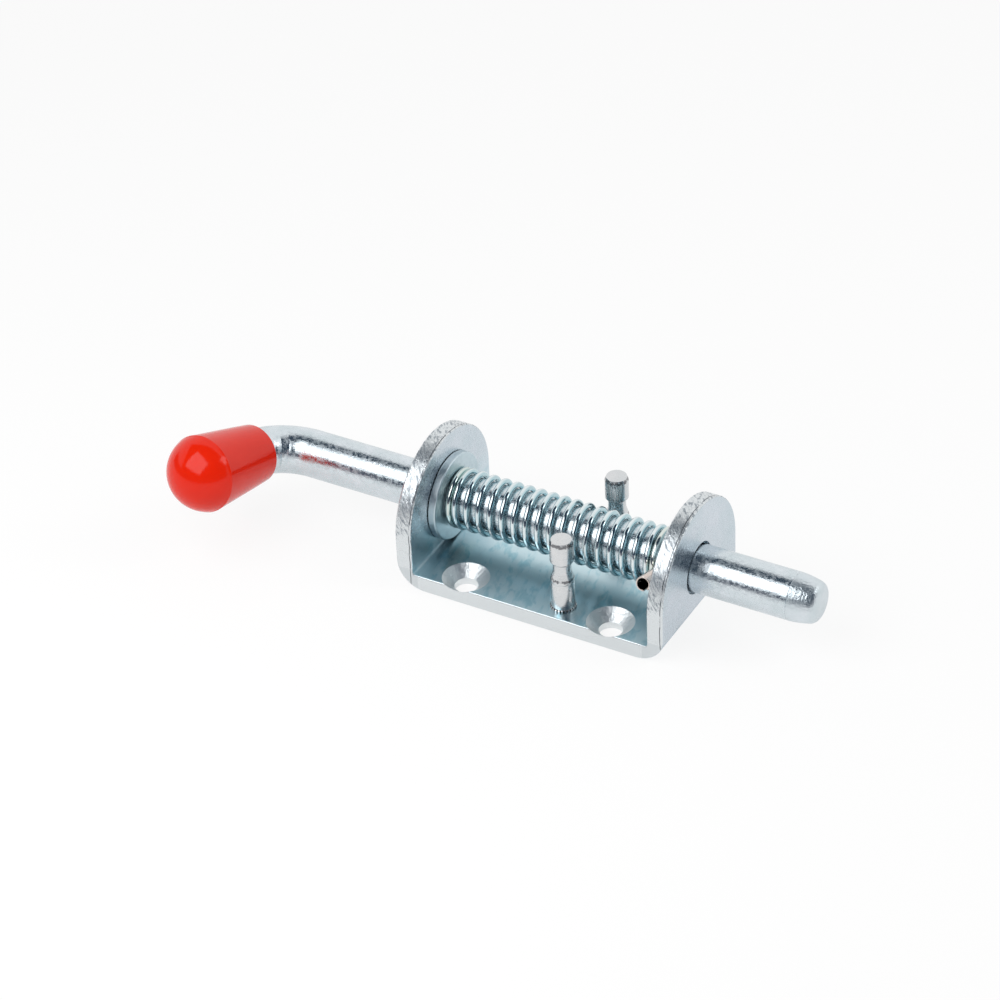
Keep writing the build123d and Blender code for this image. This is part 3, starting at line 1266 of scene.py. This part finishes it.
                        def in_crease(co: Vector) -> bool:
                            """Says whether a vertex lies in this ring of the crease."""
                            off = co - middle
                            return abs(off.dot(along)) < RING_NEAR and off.dot(out) < limit

                        pick(piece, in_crease)
                        depth = self.crease_depth * share * part / layers
                        bpy.ops.transform.translate(value=tuple(out * depth))

    def drill(self, piece: Piece) -> None:
        """Drills the cross hole for the pin.

        Args:
            piece: The bar.
        """
        choose()
        bpy.ops.mesh.primitive_cylinder_add(
            vertices=self.drill_sides, radius=self.pin_radius, depth=4 * BAR_RADIUS
        )
        drill = bpy.context.active_object
        place(drill, Vector((self.pin_x, 0.0, AXIS_Z)), LIFT_DIR, RIGHT)
        cut = piece.modifiers.new("cross_hole", "BOOLEAN")
        cut.operation = "DIFFERENCE"
        cut.solver = "EXACT"
        cut.object = drill
        apply_modifiers(piece)
        bpy.data.objects.remove(drill)
        bpy.ops.object.shade_smooth_by_angle(angle=math.radians(CRISP_DEG))


@dataclass
class HandleCap:
    """The moulded cap on the grip: a cone with a domed end.

    Attributes:
        bore_radius: The radius of its bore.
        bore_depth: How deep the bore is modelled, as the grip fills it.
        rim_radius: The cone's radius at the rim.
        radius: The cone's radius at the dome.
        rim_at: How far the rim stands from the bend.
        joint_at: Where the dome starts.
        joint_step: How far the dome is set back there.
        joint_edge: How far from the joint the cone's last ring is.
        crease_deg: How far the dome leans in where it starts.
        rim_edge: The rounding of the rim.
        rim_steps: How many rings that rounding has.
        dome_steps: How many rings the dome has.
        pole_deg: How high round the dome the last of them lies.
        ring_shares: Where along the cone it has further rings.
        crisp_deg: Edges sharper than this stay crisp.
        finish: The plastic.
    """

    bore_radius: float = 8.02 * MM
    bore_depth: float = 6.0 * MM
    rim_radius: float = 10.0 * MM
    radius: float = 13.0 * MM
    rim_at: float = 0.3 * MM
    joint_at: float = 27.49 * MM
    joint_step: float = 0.1 * MM
    joint_edge: float = 0.25 * MM
    crease_deg: float = 12.5
    rim_edge: float = 0.5 * MM
    rim_steps: int = 6
    dome_steps: int = 28
    pole_deg: float = 88.0
    ring_shares: tuple[float, ...] = (0.25, 0.5, 0.75)
    crisp_deg: float = 12.0
    finish: MouldedPlastic = MouldedPlastic()

    def outline(self) -> Outline:
        """Gives the cap's outline from inside the bore round to the dome's pole.

        Returns:
            Radius and distance along the grip of each ring.
        """
        edge, lean = self.rim_edge, math.radians(self.crease_deg)
        corner = (self.rim_radius - edge, self.rim_at + edge)
        rim = arc_points(corner, edge, -90.0, 0.0, self.rim_steps)
        length = self.joint_at - self.rim_at
        slope = (self.radius - self.rim_radius) / length
        radius = (self.radius - self.joint_step) / math.cos(lean)
        centre = (0.0, self.joint_at - radius * math.sin(lean))
        dome = arc_points(centre, radius, self.crease_deg, self.pole_deg, self.dome_steps)
        stops = [length * share for share in self.ring_shares]
        return [
            (self.bore_radius, self.rim_at + self.bore_depth),
            (self.bore_radius, self.rim_at),
            (self.rim_radius - edge, self.rim_at),
            *rim,
            *((self.rim_radius + slope * stop, self.rim_at + stop) for stop in stops),
            (self.radius - slope * self.joint_edge, self.joint_at - self.joint_edge),
            (self.radius, self.joint_at),
            *dome,
            (0.0, centre[1] + radius),
        ]

    def build(self, rod: BoltRod) -> None:
        """Moulds the cap and pushes it on the grip.

        Args:
            rod: The bar whose grip carries it.
        """
        piece = Lathe().turn("handle_cap_moulding", self.outline())
        place(piece, rod.grip_start, rod.grip_dir, PLANE_NORMAL)
        finish_surface(piece, self.crisp_deg)
        hand_over(piece, BOLT, "handle_cap", self.finish.material())


@dataclass
class RollPin:
    """The rolled and slotted tube through the bar, one end of which stands out as the catch.

    Attributes:
        centre_x: Where its axis crosses the bar.
        radius: Its outer radius.
        wall: Its wall.
        length: Its length.
        slot_deg: Half the angle that its slot takes.
        slot_at_deg: Where its slot lies.
        rounding: The rounding of its ends and of the slot's edges.
        rounding_steps: How many faces go round it.
        rounded_deg: It is laid on edges sharper than this.
        sides: How many faces go round the tube.
        finish: Its plated spring steel, which keeps a warm tint.
    """

    centre_x: float = 40.05 * MM
    radius: float = 2.5 * MM
    wall: float = 0.6 * MM
    length: float = 32.1 * MM
    slot_deg: float = 12.0
    slot_at_deg: float = -60.0
    rounding: float = 0.2 * MM
    rounding_steps: int = 4
    rounded_deg: float = 50.0
    sides: int = 72
    finish: PlatedStripSteel = PlatedStripSteel(
        "zinc_plated_spring_steel_strip",
        "#E2D9D3",
        "#D2C4BB",
        (0.18, 0.3),
        cloud_mm=3.0,
        pit_mm=0.5,
        pit_depth_mm=0.008,
    )

    def build(self) -> None:
        """Rolls the tube round its slot and puts it through the bar."""
        outline = [(self.radius, self.length * share) for share in (0.0, 0.5, 1.0)]
        piece = Lathe(self.sides).turn("roll_pin_tube", outline)
        middle, half = math.radians(self.slot_at_deg), math.radians(self.slot_deg)

        def in_slot(co: Vector) -> bool:
            """Says whether a vertex lies in the slot."""
            angle = math.atan2(co.y, co.x) - middle
            return abs(math.remainder(angle, 2 * math.pi)) < half

        with editing(piece):
            pick(piece, in_slot)
            bpy.ops.mesh.delete(type="VERT")
            bpy.ops.mesh.select_all(action="SELECT")
            bpy.ops.mesh.normals_make_consistent(inside=False)
        thick = piece.modifiers.new("wall", "SOLIDIFY")
        thick.thickness = self.wall
        thick.offset = -1.0
        rounded = piece.modifiers.new("rounding", "BEVEL")
        rounded.width = self.rounding
        rounded.segments = self.rounding_steps
        rounded.limit_method = "ANGLE"
        rounded.angle_limit = math.radians(self.rounded_deg)
        apply_modifiers(piece)
        start = Vector((self.centre_x, 0.0, AXIS_Z)) - LIFT_DIR * BAR_RADIUS
        place(piece, start, LIFT_DIR, RIGHT)
        finish_surface(piece)
        hand_over(piece, BOLT, "roll_pin", self.finish.material())


@dataclass
class ReturnSpring:
    """The wound spring between washer and pin, with touching turns at both ends.

    Attributes:
        wire_radius: The wire's radius.
        mean_radius: From the bar's axis to the wire's middle.
        start_x: Where the wire's middle starts.
        end_x: Where it ends.
        closed_turns: How many turns touch at each end.
        closed_pitch: Their pitch.
        open_turns: How many turns stand open.
        start_deg: Where the winding starts round the bar.
        steps: How many sections one turn has.
        wire_sides: How many faces go round the wire.
        crisp_deg: Edges sharper than this stay crisp.
        finish: Its plated wire, with a painted teal reflection on the sides that face along the bar.
    """

    wire_radius: float = 1.0 * MM
    mean_radius: float = 9.2 * MM
    start_x: float = -38.78 * MM
    end_x: float = 36.53 * MM
    closed_turns: float = 1.25
    closed_pitch: float = 2.05 * MM
    open_turns: float = 16.1
    start_deg: float = 55.0
    steps: int = 80
    wire_sides: int = 24
    crisp_deg: float = 50.0
    finish: PlatedRoundBar = PlatedRoundBar(
        "zinc_plated_spring_wire",
        "#E4EBEC",
        "#D4E0E3",
        (0.1, 0.18),
        cloud_mm=5.0,
        pit_mm=0.5,
        pit_depth_mm=0.002,
    )

    def build(self) -> None:
        """Winds the three stretches of the spring and joins them."""
        closed = (self.closed_turns, self.closed_pitch)
        span = self.end_x - self.start_x
        open_pitch = (span - 2 * self.closed_turns * self.closed_pitch) / self.open_turns
        turned, height = 0.0, 0.0
        stretches = []
        for turns, pitch in (closed, (self.open_turns, open_pitch), closed):
            stretches.append(self.wind(turned, height, turns, pitch))
            turned += turns
            height += turns * pitch
        piece = stretches[0]
        choose(piece)
        for stretch in stretches:
            stretch.select_set(True)
        bpy.ops.object.join()
        piece.name = piece.data.name = "spring_coil"
        start = math.radians(self.start_deg)
        across = Vector((0.0, math.cos(start), math.sin(start)))
        place(piece, Vector((self.start_x, 0.0, AXIS_Z)), RIGHT, across)
        finish_surface(piece, self.crisp_deg)
        hand_over(piece, STACK, "spring", self.finish.material())
        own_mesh(piece)

    def wind(self, turned: float, height: float, turns: float, pitch: float) -> Piece:
        """Winds one stretch round the Z axis.

        Args:
            turned: The turns already wound.
            height: The height already reached.
            turns: The turns of this stretch.
            pitch: Its pitch.

        Returns:
            The stretch as a mesh object.
        """
        choose()
        bpy.ops.mesh.primitive_circle_add(vertices=self.wire_sides, radius=self.wire_radius)
        piece = bpy.context.active_object
        angle = 2 * math.pi * turned
        out = Vector((math.cos(angle), math.sin(angle), 0.0))
        place(piece, out * self.mean_radius + UP * height, out.cross(UP), out)
        wound = piece.modifiers.new("winding", "SCREW")
        wound.axis = "Z"
        wound.angle = 2 * math.pi * turns
        wound.screw_offset = pitch * turns
        wound.steps = wound.render_steps = round(self.steps * turns)
        wound.use_merge_vertices = False
        apply_modifiers(piece)
        return piece


@dataclass(frozen=True)
class Viewpoint:
    """The photograph's viewpoint.

    Attributes:
        azimuth_deg: From -Y towards +X.
        elevation_deg: Above the horizon.
        roll_deg: The camera's tilt about its own axis.
        distance: From the camera to the point that it looks at.
        aim_height: The height of the point from which the aim is shifted.
        aim_right: The aim's shift to the camera's right.
        aim_up: The aim's shift up in the camera's view.
        focal_px: The focal length in pixels of the picture.
        picture_px: The picture's width.
        sensor_mm: The width of the camera's sensor.
    """

    azimuth_deg: float = 30.371
    elevation_deg: float = 36.076
    roll_deg: float = -2.575
    distance: float = 1.200598
    aim_height: float = 0.02
    aim_right: float = -0.020569
    aim_up: float = 0.010823
    focal_px: float = 3721.622
    picture_px: float = 1000.0
    sensor_mm: float = 36.0

    def build(self) -> None:
        """Makes the camera and sets it as the scene's."""
        a, e, r = map(math.radians, (self.azimuth_deg, self.elevation_deg, self.roll_deg))
        back = Vector((math.sin(a) * math.cos(e), -math.cos(a) * math.cos(e), math.sin(e)))
        right = Vector((math.cos(a), math.sin(a), 0.0))
        up = back.cross(right)
        tilted_right = right * math.cos(r) + up * math.sin(r)
        tilted_up = up * math.cos(r) - right * math.sin(r)
        centre = UP * self.aim_height + right * self.aim_right + up * self.aim_up
        data = bpy.data.cameras.new("photo_camera")
        data.sensor_width = self.sensor_mm
        data.lens = self.focal_px / self.picture_px * data.sensor_width
        data.clip_start = 0.01
        camera = bpy.data.objects.new("photo_camera", data)
        bpy.context.scene.collection.objects.link(camera)
        turn = Matrix((tilted_right, tilted_up, back)).transposed().to_4x4()
        camera.matrix_world = Matrix.Translation(centre + back * self.distance) @ turn
        bpy.context.scene.camera = camera


@dataclass(frozen=True)
class SoftLamp:
    """A soft rectangular lamp that faces the object.

    Attributes:
        name: Its name.
        way: The way to it from the object.
        distance: How far it is.
        size: Its width and height.
        power: Its power in watts.
        gleams: Whether it shows in reflections.
    """

    name: str
    way: tuple[float, float, float]
    distance: float
    size: Pair
    power: float
    gleams: bool = True

    def build(self) -> None:
        """Hangs the lamp."""
        data = bpy.data.lights.new(self.name, "AREA")
        data.shape = "RECTANGLE"
        data.size, data.size_y = self.size
        data.energy = self.power
        lamp = bpy.data.objects.new(self.name, data)
        bpy.context.scene.collection.objects.link(lamp)
        way = Vector(self.way).normalized()
        lamp.location = way * self.distance
        lamp.rotation_mode = "QUATERNION"
        lamp.rotation_quaternion = way.to_track_quat("Z", "Y")
        lamp.visible_camera = False
        lamp.visible_glossy = self.gleams


@dataclass
class Studio:
    """A white table under a large soft lamp, with a dark hood round the lamp.

    The hood shows only in reflections, where it gives polished metal its dark bands.

    Attributes:
        ambient: The strength of the room's light.
        lamps: The large lamp, the small one at the side, and one there that only fills.
        hood_radius: How far the hood is.
        hood_from_deg: Where the hood starts behind the zenith.
        hood_above: How far its lower edge is above the table, as a share of its radius.
        hood_left: How far it reaches to the left above its side wall, as a share of its radius.
        hood_wall: How high its side wall on the left is, as a share of its radius.
        hood_colour: Its colour.
        hood_low_colour: Its colour near the table, of which it catches some light.
        hood_low: How far up that goes, as a share of its radius.
        table_radius: The table's radius.
        table_drop: How far it lies below the object, so that their faces don't meet.
        table_colour: The table's colour as a lit surface.
        table_glow: How much of what the camera sees of the table is plain white.
        table_gleam: How much of it is plain white in reflections, which show its shadows more.
    """

    ambient: float = 0.6
    lamps: tuple[SoftLamp, ...] = (
        SoftLamp("key_lamp", (-0.28, -0.577, 0.768), 0.49, (0.42, 0.36), 1.25),
        SoftLamp("side_lamp", (0.66, 0.26, 0.7), 0.85, (0.18, 0.32), 0.5),
        SoftLamp("fill_lamp", (0.66, 0.26, 0.7), 0.9, (0.5, 0.5), 1.0, gleams=False),
    )
    hood_radius: float = 1.4
    hood_from_deg: float = -20.0
    hood_above: float = 0.06
    hood_left: float = -0.75
    hood_wall: float = 0.3
    hood_colour: str = "#2C3F50"
    hood_low_colour: str = "#73737F"
    hood_low: float = 0.36
    table_radius: float = 0.9
    table_drop: float = 0.02 * MM
    table_colour: str = "#F2F2F2"
    table_glow: float = 0.85
    table_gleam: float = 0.6

    def build(self) -> None:
        """Sets the world, the table, the lamps and the hood."""
        self.world()
        self.table()
        for lamp in self.lamps:
            lamp.build()
        self.hood()
        bpy.context.scene.view_settings.view_transform = "Standard"

    def world(self) -> None:
        """Makes the room white to the eye and in reflections, and dimmer as light."""
        world = bpy.data.worlds.new("white_room")
        sheet = NodeSheet(world)
        strength = sheet.add("MapRange", sheet.seen_directly(), 0.0, 1.0, self.ambient, 1.0)
        sheet.add("OutputWorld", sheet.add("Background", linear(WHITE), strength))
        bpy.context.scene.world = world

    def table(self) -> None:
        """Makes the white table, which keeps a faint shadow of the object."""
        choose()
        bpy.ops.mesh.primitive_circle_add(
            vertices=96,
            radius=self.table_radius,
            fill_type="NGON",
            location=(0.0, 0.0, -self.table_drop),
        )
        table = bpy.context.active_object
        table.name = "table"
        material = bpy.data.materials.new("white_table")
        sheet = NodeSheet(material)
        lit = sheet.add("BsdfDiffuse", linear(self.table_colour))
        white = sheet.add("Emission", linear(WHITE))
        camera = sheet.add("LightPath", out="Is Camera Ray")
        glow = sheet.add("Math", camera, self.table_glow, operation="MULTIPLY")
        gleam = sheet.add("Math", sheet.seen_directly(), self.table_gleam, operation="MULTIPLY")
        share = sheet.add("Math", glow, gleam, operation="MAXIMUM")
        sheet.add("OutputMaterial", sheet.add("MixShader", share, lit, white))
        table.data.materials.append(material)

    def hood(self) -> None:
        """Hangs the dark hood, of which only reflections show anything."""
        choose()
        bpy.ops.mesh.primitive_uv_sphere_add(
            segments=96, ring_count=48, radius=self.hood_radius, rotation=(0.0, math.pi / 2, 0.0)
        )
        hood = bpy.context.active_object
        hood.name = "hood"
        bpy.ops.object.transform_apply(location=True, rotation=True, scale=True)
        start = math.radians(self.hood_from_deg)
        forward = Vector((0.0, -math.cos(start), -math.sin(start)))
        cuts = (
            (Vector(), forward, True),
            (UP * self.hood_above, UP, True),
            (UP * self.hood_wall, UP, False),
            (RIGHT * self.hood_left, RIGHT, False),
        )
        left, wall = self.hood_left * self.hood_radius, self.hood_wall * self.hood_radius
        with editing(hood):
            for point, side, clears in cuts:
                bpy.ops.mesh.select_all(action="SELECT")
                bpy.ops.mesh.bisect(
                    plane_co=tuple(point * self.hood_radius),
                    plane_no=tuple(side),
                    clear_inner=clears,
                    use_fill=False,
                )
            pick(hood, lambda co: co.x < left - RING_NEAR and co.z > wall + RING_NEAR)
            bpy.ops.mesh.delete(type="VERT")
        material = bpy.data.materials.new("dark_hood_cloth")
        sheet = NodeSheet(material)
        height = sheet.add("SeparateXYZ", sheet.add("TexCoord", out="Object"), out=2)
        rise = (share * self.hood_radius for share in (self.hood_above, self.hood_low))
        upwards = sheet.add("MapRange", height, *rise)
        shades = {"Factor": upwards, 6: linear(self.hood_low_colour), 7: linear(self.hood_colour)}
        cloth = sheet.add("Mix", named=shades, out=2, data_type="RGBA")
        sheet.add("OutputMaterial", sheet.add("Emission", cloth))
        hood.data.materials.append(material)
        hood.visible_camera = hood.visible_diffuse = hood.visible_shadow = False
        hood.visible_transmission = hood.visible_volume_scatter = False


def main() -> None:
    """Builds the bolt's pieces in order and reports each one."""
    logging.basicConfig(level=logging.INFO, format="%(name)s %(message)s")
    Bracket().build()
    SeatWasher().build()
    Stud("front_stud", -19.0 * MM).build()
    Stud("rear_stud", 19.0 * MM).build()
    rod = BoltRod()
    rod.build()
    HandleCap().build(rod)
    RollPin().build()
    ReturnSpring().build()
    Viewpoint().build()
    Studio().build()


if __name__ == "__main__":
    main()
